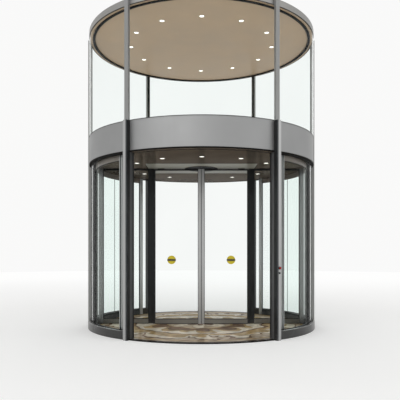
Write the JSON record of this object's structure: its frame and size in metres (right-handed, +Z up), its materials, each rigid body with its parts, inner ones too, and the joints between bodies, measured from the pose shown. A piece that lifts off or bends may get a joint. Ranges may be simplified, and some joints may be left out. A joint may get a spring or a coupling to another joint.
{
  "type": "two-wing automatic revolving door",
  "caption": "Glazed revolving door drum with a canopy ring and glazed upper storey, turning rotor with curved end shields and sliding portal leaves.",
  "frame": {"origin": "on the floor at the drum's axis", "axes": "+Z up along the rotor's axis, -Y towards the street, +X to the right seen from the street"},
  "size_m": [4.1006, 4.0242, 5.16],
  "materials": {
    "light_metal": "satin anodised",
    "dark_metal": "satin powder coat",
    "fascia_metal": "satin sheet",
    "plinth_metal": "satin powder coat",
    "clear_glass": "clear laminated",
    "ceiling_gloss": "high gloss",
    "bridge_panel": "satin",
    "black_cover": "satin",
    "gasket": "matt",
    "brush": "bristle",
    "lamp": "opal",
    "stone": "polished",
    "upper_panel": "satin",
    "steel": "machined",
    "stop_red": "gloss",
    "switch_black": "gloss"
  },
  "bodies": {
    "drum": {"floor_disc": "stone", "thresholds": "dark_metal", "door_posts": "dark_metal", "side_posts": "dark_metal", "canopy_deck": "steel", "bearing_housing": "steel", "upper_downlights": "lamp", "emergency_stop": "stop_red", "key_switch": "switch_black", "plinth_left": "plinth_metal", "plinth_right": "plinth_metal", "side_mullion_left": "light_metal", "side_mullion_right": "light_metal", "mullion_caps": "light_metal", "upper_mullions": "light_metal", "head_channel": "gasket", "upper_head_ring": "dark_metal", "upper_ceiling": "upper_panel", "drum_glass_front_right": "clear_glass", "mullion_front_right": "dark_metal", "drum_glass_rear_right": "clear_glass", "mullion_rear_right": "dark_metal", "drum_glass_rear_left": "clear_glass", "mullion_rear_left": "dark_metal", "drum_glass_front_left": "clear_glass", "mullion_front_left": "dark_metal", "fascia_front": "fascia_metal", "upper_glass_front": "clear_glass", "fascia_right": "fascia_metal", "upper_glass_right": "clear_glass", "fascia_rear": "fascia_metal", "upper_glass_rear": "clear_glass", "fascia_left": "fascia_metal", "upper_glass_left": "clear_glass"},
    "rotor": {"ceiling_bridge": "bridge_panel", "ceiling_front": "ceiling_gloss", "ceiling_rear": "ceiling_gloss", "ceiling_downlights": "lamp", "hub_cap": "black_cover", "slide_track": "steel", "rotor_hub": "steel", "end_stiles": "light_metal", "side_frames": "dark_metal", "side_glass": "clear_glass", "shield_rails": "dark_metal", "shield_top_rails": "light_metal", "shield_glass": "clear_glass", "shield_stiles": "light_metal", "shield_brushes": "brush"},
    "left_leaf": {"leaf_frame_left": "dark_metal", "leaf_glass_left": "clear_glass", "meeting_stile_left": "light_metal"},
    "right_leaf": {"leaf_frame_right": "dark_metal", "leaf_glass_right": "clear_glass", "meeting_stile_right": "light_metal"}
  },
  "joints": [
    {"name": "rotor_spin", "type": "hinge", "parent": "drum", "child": "rotor", "pos_m": [0, 0, 0], "axis": [0, 0, 1], "continuous": true},
    {"name": "left_leaf_slide", "type": "slide", "parent": "rotor", "child": "left_leaf", "axis": [-1, 0, 0], "range_m": [0, 0.8]},
    {"name": "right_leaf_slide", "type": "slide", "parent": "rotor", "child": "right_leaf", "axis": [1, 0, 0], "range_m": [0, 0.8]}
  ],
  "couplings": [
    {"joint": "right_leaf_slide", "follows": "left_leaf_slide", "ratio": 1}
  ]
}
